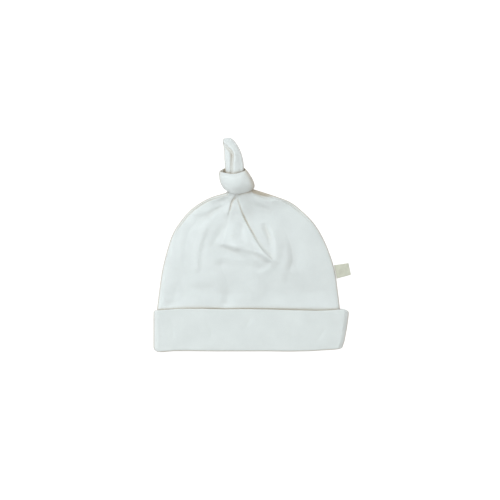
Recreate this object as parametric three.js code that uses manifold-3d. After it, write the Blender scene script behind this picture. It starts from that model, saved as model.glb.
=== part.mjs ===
// A baby's knotted nightcap of soft white jersey, lying on its back on a table.
//
// The cap is a flat bag with a turned-up cuff round its mouth. The top of the bag narrows to a stalk,
// which is tied in an overhand knot, and the free end stands out of the knot as a tail. A small folded
// label is sewn into the right side seam.
//
// Millimetres. +X is the cap's right side as seen, +Y runs from the mouth to the tail, and +Z points
// away from the table. While the cap is built, X = 0 is the crown's middle and Y = 0 the cuff's fold.
// The last lines move it so that the origin is on the table under the middle of the cap's box.

import * as THREE from "three";
import { mergeVertices } from "three/addons/utils/BufferGeometryUtils.js";
import Module from "manifold-3d";

const wasm = await Module();
wasm.setup();

// Cloth
const CLOTH = 1.4; // the crown's jersey, two plies sewn together
const CUFF_CLOTH = 1.8; // the cuff's turned-up layer
const GAP = 0.35; // clearance between pieces that lie against each other

// Crown: the bag, laid flat
const CROWN_WIDTH = 155; // across the crown where it leaves the cuff
const CROWN_RISE = 98; // from the cuff's top edge to the neck under the knot
const CROWN_LOFT = 17; // how high the crown's front lies above the table
const CROWN_ROLL = 4; // radius of the crown's rolled side edges
const ARCH_REACH = 46; // how far in from an edge the front has reached its full height

// Cuff: the band turned up round the mouth
const CUFF_HEIGHT = 35.5; // from the fold at the mouth to the band's top edge
const CUFF_LOFT = 15; // how high the cuff's front lies above the table
const CUFF_ROLL = 5.8; // radius of the cuff's rolled side edges
const CUFF_EASE = 0.6; // extra room for the crown at the cuff's snug left side
const CUFF_FLARE = 4.9; // how far the cuff stands out from the crown at its top right corner
const CUFF_TUCK = 1.4; // how far the cuff's right side is drawn in at the fold
const FOLD_DEPTH = 2.8; // thickness of the cuff's fold under the crown's rim

// Stalk, knot and tail
const STALK_WIDTH = 16; // the stalk where it runs through the knot
const STALK_THICKNESS = 11.4;
const STALK_HEIGHT = 12.6; // the stalk's middle above the table, inside the knot
const STALK_LEAN = 10; // degrees that the stalk leans to the left
const STALK_LIFT = 6; // degrees that it rises from the table
const KNOT_WIDTH = 29.4;
const KNOT_THICKNESS = 25;
const KNOT_LENGTH = 22; // along the stalk
const NECK_INSIDE = 3.07; // how far inside the knot the crown's last level lies
const NECK_DEPTH = 2.5; // how far beyond that the crown has narrowed to the stalk
const STALK_END = 1; // how far before the knot's middle the stalk ends at the tail
const RIM_GROOVE = 0.5; // depth of the groove under the wrap's upper rim
const TAIL_LENGTH = 37.4; // from the middle of the knot to the tip
const TAIL_WIDTH = 15.8;
const TAIL_THICKNESS = 11;

// Label: a folded tape, sewn square into the right side seam
const LABEL_LENGTH = 12.4; // from the seam to the fold
const LABEL_WIDTH = 11;
const LABEL_PLY = 0.5;
const LABEL_OPENING = 0.5; // between the label's two plies
const LABEL_RISE = 0.335; // where it sits on the seam, as a share of the crown's rise
const LABEL_DROOP = 5; // degrees

// Mesh density
const FRONT_STEPS = 48; // facets across the front of the crown and the cuff
const BACK_STEPS = 18;
const CROWN_LEVELS = 24; // facets from the cuff's top edge to the neck
const HIDDEN_LEVELS = 3; // facets of the crown inside the cuff
const OUTLINE_STEPS = 60;
const KNOT_STEPS = 36;
const TAIL_STEPS = 24;

// The crown's levels from the cuff's top edge to the neck. Each level runs from the left edge through
// a middle point to the right edge. Across is a share of half the crown's width, rise a share of
// its rise.
const LEVELS = [
  { left: -1.0, leftRise: 0.0, middle: 0.0, middleRise: 0.0, right: 1.0, rightRise: 0.0 },
  { left: -0.976, leftRise: 0.165, middle: 0.0, middleRise: 0.139, right: 0.976, rightRise: 0.165 },
  { left: -0.943, leftRise: 0.338, middle: -0.005, middleRise: 0.277, right: 0.943, rightRise: 0.338 },
  { left: -0.889, leftRise: 0.511, middle: -0.016, middleRise: 0.411, right: 0.872, rightRise: 0.511 },
  { left: -0.829, leftRise: 0.649, middle: -0.033, middleRise: 0.519, right: 0.791, rightRise: 0.649 },
  { left: -0.747, leftRise: 0.753, middle: -0.049, middleRise: 0.61, right: 0.703, rightRise: 0.753 },
  { left: -0.638, leftRise: 0.853, middle: -0.065, middleRise: 0.701, right: 0.594, rightRise: 0.84 },
  { left: -0.518, leftRise: 0.922, middle: -0.076, middleRise: 0.788, right: 0.469, rightRise: 0.918 },
  { left: -0.398, leftRise: 0.967, middle: -0.082, middleRise: 0.874, right: 0.322, rightRise: 0.965 },
  { left: -0.25, leftRise: 1.0, middle: -0.103, middleRise: 1.0, right: 0.045, rightRise: 1.035 },
];

// Folds of the crown's front, each along a bent line through three places of [across, rise], in shares
// as above. Lift is a share of the crown's loft, below zero in a valley, and wide a share of the
// crown's width.
const FOLDS = [
  { name: "tuck", from: [-0.14, 0.96], bend: [-0.19, 0.9], to: [-0.22, 0.79], lift: -0.15, wide: 0.019 },
  { name: "long tuck", from: [-0.12, 0.95], bend: [-0.02, 0.73], to: [0.25, 0.44], lift: -0.16, wide: 0.021 },
  { name: "dent", from: [-0.1, 0.76], bend: [-0.12, 0.72], to: [-0.13, 0.68], lift: -0.07, wide: 0.03 },
  { name: "foot", from: [-0.36, 0.55], bend: [-0.1, 0.5], to: [0.16, 0.45], lift: -0.12, wide: 0.021 },
  { name: "inner", from: [-0.26, 0.74], bend: [-0.32, 0.66], to: [-0.38, 0.58], lift: -0.09, wide: 0.024 },
  { name: "left ridge", from: [-0.19, 0.9], bend: [-0.38, 0.85], to: [-0.55, 0.72], lift: 0.1, wide: 0.04 },
  { name: "left brow", from: [-0.18, 0.94], bend: [-0.33, 0.89], to: [-0.57, 0.8], lift: -0.12, wide: 0.025 },
  { name: "outer", from: [-0.42, 0.74], bend: [-0.55, 0.6], to: [-0.55, 0.37], lift: -0.09, wide: 0.028 },
  { name: "right brow", from: [-0.02, 0.93], bend: [0.1, 0.88], to: [0.26, 0.83], lift: -0.1, wide: 0.028 },
  { name: "hook valley", from: [0.16, 0.72], bend: [0.21, 0.63], to: [0.24, 0.55], lift: -0.09, wide: 0.02 },
  { name: "hook", from: [0.21, 0.74], bend: [0.34, 0.51], to: [0.1, 0.29], lift: 0.1, wide: 0.027 },
  { name: "right outer", from: [0.36, 0.68], bend: [0.51, 0.51], to: [0.43, 0.34], lift: -0.11, wide: 0.033 },
  { name: "low right", from: [0.35, 0.29], bend: [0.23, 0.19], to: [0.12, 0.13], lift: -0.06, wide: 0.028 },
  { name: "low left", from: [-0.68, 0.23], bend: [-0.55, 0.17], to: [-0.42, 0.21], lift: -0.08, wide: 0.028 },
  { name: "low mid", from: [-0.34, 0.31], bend: [-0.22, 0.2], to: [-0.28, 0.07], lift: -0.06, wide: 0.032 },
];

// The raised triangle of the pleat between the two creases, as its corners in order. The width of the
// slope that leads up from each corner's side to the next corner is a share of the crown's width.
const PLEAT_HEIGHT = 0.12; // as a share of the crown's loft
const PLEAT = [
  { x: -0.13, y: 0.985, slope: 0.045 },
  { x: -0.31, y: 0.57, slope: 0.04 },
  { x: 0.28, y: 0.42, slope: 0.03 },
];

// The cuff's uneven edges from its left side to its right, as shares of the cuff's height: where its
// top edge and its fold lie.
const CUFF_EDGES = [
  { top: 0.96, fold: 0.0 },
  { top: 1.0, fold: -0.022 },
  { top: 1.012, fold: 0.0 },
  { top: 1.008, fold: 0.005 },
  { top: 1.0, fold: 0.008 },
  { top: 0.99, fold: 0.01 },
  { top: 0.978, fold: 0.01 },
  { top: 0.966, fold: 0.02 },
  { top: 0.99, fold: 0.036 },
  { top: 0.945, fold: 0.04 },
];

// The knot's wrap at eighths of a turn, from its right side over its front to its left side and back:
// its lower rim, its widest place and its upper rim, as shares of half the knot's width, length and
// thickness from its middle.
const LOWER_RIM = [
  { x: 0.82, y: -0.45, z: -0.15 },
  { x: 0.59, y: -0.78, z: 0.35 },
  { x: -0.13, y: -0.98, z: 0.53 },
  { x: -0.55, y: -0.75, z: 0.38 },
  { x: -0.8, y: -0.46, z: -0.19 },
  { x: -0.49, y: -0.31, z: -0.67 },
  { x: -0.03, y: -0.31, z: -0.79 },
  { x: 0.6, y: -0.35, z: -0.67 },
];
const WIDEST = [
  { x: 0.94, y: -0.04, z: -0.11 },
  { x: 0.78, y: -0.19, z: 0.61 },
  { x: -0.06, y: -0.15, z: 1.04 },
  { x: -0.8, y: -0.04, z: 0.61 },
  { x: -1.03, y: 0.27, z: -0.11 },
  { x: -0.66, y: 0.42, z: -0.75 },
  { x: -0.03, y: 0.46, z: -0.94 },
  { x: 0.6, y: 0.39, z: -0.75 },
];
const UPPER_RIM = [
  { x: 0.56, y: 0.85, z: 0.05 },
  { x: 0.39, y: 0.74, z: 0.51 },
  { x: -0.23, y: 0.56, z: 0.64 },
  { x: -0.75, y: 0.66, z: 0.49 },
  { x: -0.98, y: 0.82, z: 0.09 },
  { x: -0.66, y: 1.08, z: -0.35 },
  { x: -0.11, y: 1.15, z: -0.51 },
  { x: 0.35, y: 1.11, z: -0.35 },
];

// The tail's edges from the middle of the knot to its tip. Left and right are shares of half its
// width from the knot's middle, and along shares of its length.
const TAIL_EDGES = [
  { left: -0.92, leftAlong: 0.009, right: 0.62, rightAlong: 0.009 },
  { left: -1.21, leftAlong: 0.17, right: 0.66, rightAlong: 0.17 },
  { left: -1.31, leftAlong: 0.31, right: 0.69, rightAlong: 0.317 },
  { left: -1.38, leftAlong: 0.475, right: 0.59, rightAlong: 0.498 },
  { left: -1.41, leftAlong: 0.649, right: 0.35, rightAlong: 0.674 },
  { left: -1.49, leftAlong: 0.799, right: 0.09, rightAlong: 0.796 },
  { left: -1.57, leftAlong: 0.905, right: -0.24, rightAlong: 0.903 },
  { left: -1.55, leftAlong: 0.966, right: -0.49, rightAlong: 0.962 },
  { left: -1.34, leftAlong: 0.998, right: -0.78, rightAlong: 1.002 },
];

// The tail's sections in the same rows: the middle's height as a share of the stalk's, thick as a
// share of its thickness, and crease the place of the lengthwise groove between the edges, from -1
// to 1, and its depth.
const TAIL_SECTIONS = [
  { middle: 1.08, thick: 0.91, crease: -0.3, depth: 0 },
  { middle: 1.11, thick: 0.96, crease: -0.32, depth: 0.15 },
  { middle: 1.08, thick: 1.02, crease: -0.3, depth: 0.38 },
  { middle: 0.96, thick: 1.04, crease: -0.15, depth: 0.42 },
  { middle: 0.81, thick: 0.98, crease: 0, depth: 0.42 },
  { middle: 0.65, thick: 0.89, crease: -0.6, depth: 0.36 },
  { middle: 0.54, thick: 0.78, crease: -0.9, depth: 0.15 },
  { middle: 0.49, thick: 0.65, crease: -0.9, depth: 0 },
  { middle: 0.47, thick: 0.4, crease: -0.9, depth: 0 },
];

const radians = THREE.MathUtils.degToRad;
const mix = THREE.MathUtils.lerp;
const ease = THREE.MathUtils.smoothstep;

// A column of a table as a smooth curve. At runs from 0 in the first row to 1 in the last.
function column(rows, name, at) {
  const place = THREE.MathUtils.clamp(at, 0, 1) * (rows.length - 1);
  const row = Math.min(Math.floor(place), rows.length - 2);
  const value = (i) => rows[THREE.MathUtils.clamp(i, 0, rows.length - 1)][name];
  const [a, b, c, d] = [value(row - 1), value(row), value(row + 1), value(row + 2)];
  const f = place - row;
  return b + 0.5 * f * (c - a + f * (2 * a - 5 * b + 4 * c - d + f * (3 * (b - c) + d - a)));
}

// Height of a quarter circle of that radius, at a distance in from its foot.
function quarter(distance, radius) {
  const left = Math.max(0, radius - Math.max(0, distance));
  return Math.sqrt(Math.max(0, radius * radius - left * left));
}

// Share of its full height that the cloth between two rolled edges has reached.
function arch(distance) {
  const left = 1 - Math.min(1, Math.max(0, distance) / ARCH_REACH);
  return 1 - left * left;
}

// Rings of points joined into one closed skin. Each ring runs from the right over the front to the
// left, and the rings on the outside follow each other towards the tail. An open row of rings is
// capped at both ends, and a closed one joins its last ring to its first. Each facet is split along
// its shorter diagonal, so that creases stay smooth.
function skin(rings, closed) {
  const count = rings[0].length;
  const points = rings.flat();
  const faces = [];
  const last = closed ? rings.length : rings.length - 1;
  for (let ring = 0; ring < last; ring++) {
    const next = (ring + 1) % rings.length;
    for (let i = 0; i < count; i++) {
      const j = (i + 1) % count;
      const [a, b] = [ring * count + i, ring * count + j];
      const [c, d] = [next * count + j, next * count + i];
      const shorter = points[a].distanceTo(points[c]) < points[b].distanceTo(points[d]);
      faces.push(...(shorter ? [a, c, b, a, d, c] : [a, d, b, b, d, c]));
    }
  }
  const cap = (ring, turn) => {
    const middle = rings[ring].reduce((sum, p) => sum.add(p), new THREE.Vector3());
    points.push(middle.divideScalar(count));
    for (let i = 0; i < count; i++) {
      const pair = [ring * count + i, ring * count + ((i + 1) % count)];
      faces.push(...(turn ? pair.reverse() : pair), points.length - 1);
    }
  };
  if (!closed) {
    cap(0, false);
    cap(rings.length - 1, true);
  }
  const geometry = new THREE.BufferGeometry().setFromPoints(points);
  return geometry.setIndex(faces);
}

// Places round a flattened tube: across runs from 1 at the right edge over the front to -1 at the left
// edge, and back underneath. Turn is the matching angle. Even is 0 where the places crowd at the edges
// and 1 where they are evenly spaced.
function placesAround() {
  const places = [];
  const side = (steps, even, front) => {
    for (let i = 0; i < steps; i++) {
      const turn = (Math.PI * i) / steps;
      const across = mix(Math.cos(turn), 1 - (2 * i) / steps, even);
      places.push(front ? { across, front, turn } : { across: -across, front, turn: turn + Math.PI });
    }
  };
  side(FRONT_STEPS, 0.45, true);
  side(BACK_STEPS, 0, false);
  return places;
}
const AROUND = placesAround();

// Crown

const HALF = CROWN_WIDTH / 2;
const RIM = FOLD_DEPTH + GAP; // the crown's lower edge, which stands on the cuff's fold
const SEAT = CUFF_CLOTH + GAP; // from the cuff's outside to the crown inside it

// The level at t: from -1 at the rim to 0 at the cuff's top edge and 1 at the neck.
function crownLevel(t) {
  if (t < 0) {
    const y = mix(CUFF_HEIGHT, RIM, -t);
    const right = HALF - CUFF_TUCK * -t;
    return [new THREE.Vector2(-HALF, y), new THREE.Vector2(0, y), new THREE.Vector2(right, y)];
  }
  const at = (side) =>
    new THREE.Vector2(
      column(LEVELS, side, t) * HALF,
      CUFF_HEIGHT + column(LEVELS, side + "Rise", t) * CROWN_RISE,
    );
  return [at("left"), at("middle"), at("right")];
}

// The crown's two side edges from the rim to the neck, for measuring distances to them.
const EDGES = [0, 2].map((side) =>
  Array.from({ length: OUTLINE_STEPS + 1 }, (_, i) => crownLevel(-1 + (2 * i) / OUTLINE_STEPS)[side]),
);

function distanceToEdge(point) {
  let least = Infinity;
  for (const edge of EDGES) {
    for (let i = 0; i < OUTLINE_STEPS; i++) {
      const along = edge[i + 1].clone().sub(edge[i]);
      const to = point.clone().sub(edge[i]);
      const share = THREE.MathUtils.clamp(to.dot(along) / along.lengthSq(), 0, 1);
      least = Math.min(least, to.distanceTo(along.multiplyScalar(share)));
    }
  }
  return least;
}

// The direction into the crown, square to its side edge at t.
function inward(t, side) {
  const STEP = 0.01;
  const along = crownLevel(Math.min(1, t + STEP))[side].sub(crownLevel(Math.max(-1, t - STEP))[side]);
  along.normalize();
  return side === 0 ? new THREE.Vector2(along.y, -along.x) : new THREE.Vector2(-along.y, along.x);
}

// Height that the folds add to the crown's front at a point.
function foldHeight(x, y) {
  const LINE_STEPS = 12;
  const ENDS = 0.12; // how much of a fold's height is left at its two ends
  let sum = 0;
  for (const { from, bend, to, lift, wide } of FOLDS) {
    let share = 0;
    for (let i = 0; i <= LINE_STEPS; i++) {
      const f = i / LINE_STEPS;
      const [across, rise] = [0, 1].map((k) => mix(mix(from[k], bend[k], f), mix(bend[k], to[k], f), f));
      const away = Math.hypot(x - across * HALF, y - CUFF_HEIGHT - rise * CROWN_RISE);
      const fade = Math.sin(Math.PI * mix(ENDS, 1 - ENDS, f));
      share = Math.max(share, fade * Math.exp(-0.5 * (away / (wide * CROWN_WIDTH)) ** 2));
    }
    sum += share * lift * CROWN_LOFT;
  }
  return sum + pleatShare(x, y) * PLEAT_HEIGHT * CROWN_LOFT;
}

// Share of the pleat's height that is reached at a point of the crown's front.
function pleatShare(x, y) {
  let share = 1;
  for (let i = 0; i < PLEAT.length; i++) {
    const [a, b] = [PLEAT[i], PLEAT[(i + 1) % PLEAT.length]];
    const [alongX, alongY] = [(b.x - a.x) * HALF, (b.y - a.y) * CROWN_RISE];
    const [toX, toY] = [x - a.x * HALF, y - CUFF_HEIGHT - a.y * CROWN_RISE];
    const inside = (alongX * toY - alongY * toX) / Math.hypot(alongX, alongY);
    share = Math.min(share, ease(inside, 0, a.slope * CROWN_WIDTH));
  }
  return share;
}

const NECK = crownLevel(1);
const NECK_X = (NECK[0].x + NECK[2].x) / 2;
const NECK_Y = (NECK[0].y + NECK[2].y) / 2;

// The crown's cloth at a place round it, at t from the rim to the neck, that far in from its outside.
function crownPoint(place, t, inset) {
  const OUT_OF_CUFF = 0.12; // the level where the crown has sunk from the cuff to the table
  const RISEN = 0.2; // the level where the crown's front has risen above the cuff to its full loft
  const GATHERS = 0.72; // the level where it starts to draw together into the stalk
  const [left, middle, right] = crownLevel(t);
  left.addScaledVector(inward(t, 0), inset);
  right.addScaledVector(inward(t, 2), inset);
  const s = place.across;
  const half = right.clone().sub(left).multiplyScalar(0.5);
  const sag = left.clone().add(right).multiplyScalar(0.5).sub(middle);
  const p = middle.clone().addScaledVector(half, s).addScaledVector(sag, s * s);

  const inCuff = 1 - ease(t, 0, OUT_OF_CUFF);
  const roll = mix(CROWN_ROLL, CUFF_ROLL - SEAT, inCuff);
  const edge = mix(CROWN_ROLL, CUFF_ROLL, inCuff);
  const loft = mix(CUFF_LOFT - 2 * CUFF_ROLL, CROWN_LOFT - 2 * CROWN_ROLL, ease(t, 0, RISEN));
  const distance = Math.max(0, distanceToEdge(p) - inset);
  const rolled = quarter(distance, roll - inset);
  let z = edge - rolled;
  if (place.front) {
    const foldsShow = ease(t, 0, OUT_OF_CUFF) * ease(distance, 0, 2 * CROWN_ROLL);
    z = edge + rolled + loft * arch(distance) + foldsShow * foldHeight(p.x, p.y);
  }
  const gathered = ease(t, GATHERS, 1);
  const stalk = STALK_HEIGHT + (STALK_THICKNESS / 2 - inset) * Math.sin(place.turn);
  return new THREE.Vector3(p.x, p.y, mix(z, stalk, gathered));
}

// The stalk's line through the middle of the knot, and its section at a place along it. The crown's
// last level is at NECK_AT.
function leaning(lean, lift) {
  const [sideways, upwards] = [radians(lean), radians(lift)];
  return new THREE.Vector3(
    -Math.sin(sideways) * Math.cos(upwards),
    Math.cos(sideways) * Math.cos(upwards),
    Math.sin(upwards),
  );
}
const STALK_AXIS = leaning(STALK_LEAN, STALK_LIFT);
const STALK_SIDE = new THREE.Vector3().crossVectors(STALK_AXIS, new THREE.Vector3(0, 0, 1)).normalize();
const STALK_UP = new THREE.Vector3().crossVectors(STALK_SIDE, STALK_AXIS);
const NECK_AT = NECK_INSIDE - KNOT_LENGTH / 2;
const KNOT_AT = new THREE.Vector3(NECK_X, NECK_Y, STALK_HEIGHT).addScaledVector(STALK_AXIS, -NECK_AT);

function stalkRing(along, halfWidth, halfThickness, turns) {
  return turns.map((turn) =>
    KNOT_AT.clone()
      .addScaledVector(STALK_AXIS, along)
      .addScaledVector(STALK_SIDE, halfWidth * Math.cos(turn))
      .addScaledVector(STALK_UP, halfThickness * Math.sin(turn)),
  );
}

function crown() {
  const APEX = 0.9; // where the bag's hollow ends under the neck
  const ring = (t, inset) => AROUND.map((place) => crownPoint(place, t, inset));
  const levels = [];
  for (let i = 0; i < HIDDEN_LEVELS; i++) levels.push(-1 + i / HIDDEN_LEVELS);
  for (let i = 0; i <= CROWN_LEVELS; i++) levels.push(i / CROWN_LEVELS);
  const inside = levels.filter((t) => t < APEX).reverse().map((t) => ring(t, CLOTH));
  const outside = levels.map((t) => ring(t, 0));
  const turns = AROUND.map((place) => place.turn);
  const stub = [NECK_AT + NECK_DEPTH, -STALK_END].map((along) =>
    stalkRing(along, STALK_WIDTH / 2, STALK_THICKNESS / 2, turns),
  );
  return skin([...inside, ...outside, ...stub], false);
}

// Cuff

// The cuff's cloth at a place round it and a height up from its fold, that far in from its outside.
function cuffPoint(place, height, inset) {
  const SWEEP = 0.6; // under 1, the right side leans out most near the fold
  const up = THREE.MathUtils.clamp(height / CUFF_HEIGHT, 0, 1);
  const edge = (name) => column(CUFF_EDGES, name, (place.across + 1) / 2);
  const atFold = Math.max(0, 1 - height / FOLD_DEPTH);
  const y = height + CUFF_HEIGHT * ((edge("top") - 1) * up + edge("fold") * atFold);
  const left = -HALF - SEAT - CUFF_EASE + inset;
  const right = HALF + SEAT - CUFF_TUCK + (CUFF_FLARE + CUFF_TUCK) * Math.pow(up, SWEEP) - inset;
  const x = mix(left, right, (place.across + 1) / 2);
  const distance = Math.min(x - left, right - x);
  const rolled = quarter(distance, CUFF_ROLL - inset);
  const loft = (CUFF_LOFT - 2 * CUFF_ROLL) * arch(distance);
  return new THREE.Vector3(x, y, place.front ? CUFF_ROLL + rolled + loft : CUFF_ROLL - rolled);
}

// The cuff cut through its cloth: up the outside, over the top edge, down the inside and round the
// fold, which fills the space under the crown's rim.
function cuff() {
  const lip = SEAT + CLOTH;
  const section = [
    { inset: 0.8, y: 0.25 },
    { inset: 0, y: 1.3 },
    { inset: 0, y: CUFF_HEIGHT * 0.5 },
    { inset: 0, y: CUFF_HEIGHT - 0.6 },
    { inset: 0.5, y: CUFF_HEIGHT },
    { inset: CUFF_CLOTH - 0.5, y: CUFF_HEIGHT },
    { inset: CUFF_CLOTH, y: CUFF_HEIGHT - 0.6 },
    { inset: CUFF_CLOTH, y: CUFF_HEIGHT * 0.5 },
    { inset: CUFF_CLOTH, y: FOLD_DEPTH },
    { inset: lip - 0.5, y: FOLD_DEPTH },
    { inset: lip, y: FOLD_DEPTH - 0.7 },
    { inset: lip, y: 0.9 },
    { inset: lip - 0.9, y: 0 },
  ];
  return skin(section.map(({ inset, y }) => AROUND.map((place) => cuffPoint(place, y, inset))), true);
}

// Knot

function solidOf(geometry) {
  const merged = mergeVertices(new THREE.BufferGeometry()
    .setAttribute("position", geometry.getAttribute("position"))
    .setIndex(geometry.index));
  return new wasm.Manifold(new wasm.Mesh({
    numProp: 3,
    vertProperties: merged.getAttribute("position").array,
    triVerts: new Uint32Array(merged.index.array),
  }));
}

function geometryOf(solid) {
  const { vertProperties, triVerts } = solid.getMesh();
  const geometry = new THREE.BufferGeometry();
  geometry.setAttribute("position", new THREE.BufferAttribute(vertProperties, 3));
  return geometry.setIndex(new THREE.BufferAttribute(triVerts, 1));
}

// One turn of the stalk wrapped round itself, with the way through it cut to the stalk and the neck.
// Its band runs from the lower rim over the widest place to the upper rim and back inside.
function knot() {
  const FULLNESS = 0.6; // under 1, the band is fuller than a parabola
  const GROOVE_SHARE = 0.87; // share of the way up where the groove under the upper rim runs
  const OUTSIDE = [0, 0.06, 0.18, 0.34, 0.5, 0.66, 0.78, GROOVE_SHARE, 0.95, 1];
  const INSIDE = [0.85, 0.5, 0.15];
  const half = new THREE.Vector3(KNOT_WIDTH, KNOT_LENGTH, KNOT_THICKNESS).multiplyScalar(0.5);
  const curve = (rows) => {
    const points = rows.map(({ x, y, z }) => new THREE.Vector3(x, y, z).multiply(half).add(KNOT_AT));
    return new THREE.CatmullRomCurve3(points, true, "catmullrom");
  };
  const [lower, widest, upper] = [LOWER_RIM, WIDEST, UPPER_RIM].map(curve);
  const band = (share, over) => Array.from({ length: KNOT_STEPS }, (_, i) => {
    const [low, high] = [lower.getPoint(i / KNOT_STEPS), upper.getPoint(i / KNOT_STEPS)];
    const bulge = over(i).sub(low.clone().add(high).multiplyScalar(0.5));
    return low.lerp(high, share).addScaledVector(bulge, Math.pow(4 * share * (1 - share), FULLNESS));
  });
  const turns = Array.from({ length: KNOT_STEPS }, (_, i) => (2 * Math.PI * i) / KNOT_STEPS);
  const within = (i) => {
    const [across, thick] = [STALK_WIDTH / 2, STALK_THICKNESS / 2];
    return new THREE.Vector3(across * Math.cos(turns[i]), 0, thick * Math.sin(turns[i])).add(KNOT_AT);
  };
  const bands = [
    ...OUTSIDE.map((share) => band(share, (i) => widest.getPoint(i / KNOT_STEPS))),
    ...INSIDE.map((share) => band(share, within)),
  ];
  const grooved = bands[OUTSIDE.indexOf(GROOVE_SHARE)];
  grooved.forEach((point, i) => (point.z -= RIM_GROOVE * Math.max(0, Math.sin(turns[i]))));
  const [wide, thick] = [STALK_WIDTH / 2 + GAP, STALK_THICKNESS / 2 + GAP];
  const neck = NECK[0].distanceTo(NECK[2]) / 2 + 2 * GAP;
  const shoulder = { before: 4, wider: 18, thicker: 2 };
  const wayIn = [
    stalkRing(NECK_AT - shoulder.before, neck + shoulder.wider, thick + shoulder.thicker, turns),
    stalkRing(NECK_AT, neck, thick + 1, turns),
    stalkRing(NECK_AT + NECK_DEPTH, wide + GAP, thick + GAP, turns),
    stalkRing(NECK_AT + 2 * NECK_DEPTH, wide, thick, turns),
    stalkRing(NECK_DEPTH, wide, thick, turns),
  ];
  const wayOut = tailRings(GAP);
  wayOut.unshift(wayOut[0].map((point) => point.clone().addScaledVector(STALK_AXIS, -2 * GAP)));
  const wrap = solidOf(skin(bands, true));
  return geometryOf(wrap.subtract(solidOf(skin(wayIn, false))).subtract(solidOf(skin(wayOut, false))));
}

// Tail

// The tail's rings from the middle of the knot to its tip, that much larger all round.
function tailRings(clearance) {
  const STATIONS = 14;
  const GROOVE = 0.22; // width of the lengthwise groove
  const turns = Array.from({ length: TAIL_STEPS }, (_, i) => (2 * Math.PI * i) / TAIL_STEPS);
  return Array.from({ length: STATIONS + 1 }, (_, i) => {
    const edge = (side, along) => new THREE.Vector3(
      KNOT_AT.x + (column(TAIL_EDGES, side, i / STATIONS) * TAIL_WIDTH) / 2,
      KNOT_AT.y + column(TAIL_EDGES, along, i / STATIONS) * TAIL_LENGTH,
      0,
    );
    const get = (name) => column(TAIL_SECTIONS, name, i / STATIONS);
    const [left, right] = [edge("left", "leftAlong"), edge("right", "rightAlong")];
    const middle = left.clone().add(right).multiplyScalar(0.5);
    const half = right.sub(left).multiplyScalar(0.5);
    half.setLength(half.length() + clearance);
    const thick = (get("thick") * TAIL_THICKNESS) / 2 + clearance;
    return turns.map((turn) => {
      const across = Math.cos(turn);
      const groove = Math.exp(-0.5 * ((across - get("crease")) / GROOVE) ** 2) * get("depth");
      const up = Math.sin(turn) * (Math.sin(turn) > 0 ? 1 - groove : 1);
      const at = middle.clone().addScaledVector(half, across);
      at.z = get("middle") * STALK_HEIGHT + up * thick;
      return at;
    });
  });
}

// Label

function label() {
  const half = LABEL_PLY + LABEL_OPENING / 2;
  const shape = new THREE.Shape();
  const straight = LABEL_LENGTH - half;
  shape.moveTo(0, -half);
  shape.lineTo(straight, -half);
  shape.absarc(straight, 0, half, -Math.PI / 2, Math.PI / 2, false);
  shape.lineTo(0, half);
  shape.lineTo(0, half - LABEL_PLY);
  shape.lineTo(straight, half - LABEL_PLY);
  shape.absarc(straight, 0, half - LABEL_PLY, Math.PI / 2, -Math.PI / 2, true);
  shape.lineTo(0, LABEL_PLY - half);
  return new THREE.ExtrudeGeometry(shape, { depth: LABEL_WIDTH, bevelEnabled: false, curveSegments: 6 })
    .translate(0, 0, -LABEL_WIDTH / 2)
    .rotateX(-Math.PI / 2);
}

function placeLabel(mesh) {
  let t = 0;
  while (column(LEVELS, "rightRise", t) < LABEL_RISE) t += 0.001;
  const out = inward(t, 2).negate();
  const at = crownLevel(t)[2].addScaledVector(out, GAP);
  mesh.position.set(at.x, at.y, CROWN_ROLL);
  mesh.rotation.set(0, radians(LABEL_DROOP), Math.atan2(out.y, out.x), "ZYX");
}

// The cap

const jersey = { color: 0xdde5e4, roughness: 0.95, metalness: 0 };
const tape = { color: 0xc8cabb, roughness: 0.8, metalness: 0 };
const cap = new THREE.Group();

function add(name, geometry, material) {
  geometry.computeVertexNormals();
  const mesh = new THREE.Mesh(geometry, new THREE.MeshStandardMaterial(material));
  mesh.name = name;
  cap.add(mesh);
  return mesh;
}

add("crown", crown(), jersey);
add("cuff", cuff(), jersey);
add("knot", knot(), jersey);
add("tail", skin(tailRings(0), false), jersey);
placeLabel(add("label", label(), tape));

const box = new THREE.Box3().setFromObject(cap, true);
const middle = box.getCenter(new THREE.Vector3());
for (const mesh of cap.children) mesh.position.sub(new THREE.Vector3(middle.x, middle.y, box.min.z));

export default cap;
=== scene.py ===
import math

import bpy
import numpy as np
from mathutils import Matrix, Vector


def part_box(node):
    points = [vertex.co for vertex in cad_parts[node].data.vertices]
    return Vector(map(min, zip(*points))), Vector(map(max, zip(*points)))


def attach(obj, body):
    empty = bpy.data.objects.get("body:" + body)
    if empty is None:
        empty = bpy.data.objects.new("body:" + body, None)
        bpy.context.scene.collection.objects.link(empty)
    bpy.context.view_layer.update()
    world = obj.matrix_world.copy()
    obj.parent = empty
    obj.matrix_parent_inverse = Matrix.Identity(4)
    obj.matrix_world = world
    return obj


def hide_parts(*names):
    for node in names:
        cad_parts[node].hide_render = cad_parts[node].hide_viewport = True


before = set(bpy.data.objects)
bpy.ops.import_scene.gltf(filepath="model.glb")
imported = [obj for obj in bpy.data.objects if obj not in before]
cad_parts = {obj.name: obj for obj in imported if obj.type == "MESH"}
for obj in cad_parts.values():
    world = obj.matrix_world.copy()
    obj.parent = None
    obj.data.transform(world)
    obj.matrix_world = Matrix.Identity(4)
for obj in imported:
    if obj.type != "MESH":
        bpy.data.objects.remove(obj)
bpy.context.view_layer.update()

# A baby's knotted nightcap of cotton jersey, lying on its back. Shapes are worked out in millimetres,
# with x = 0 in the crown's middle and y = 0 at the cuff's fold, then moved into the frame.

MM = 0.001

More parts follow.
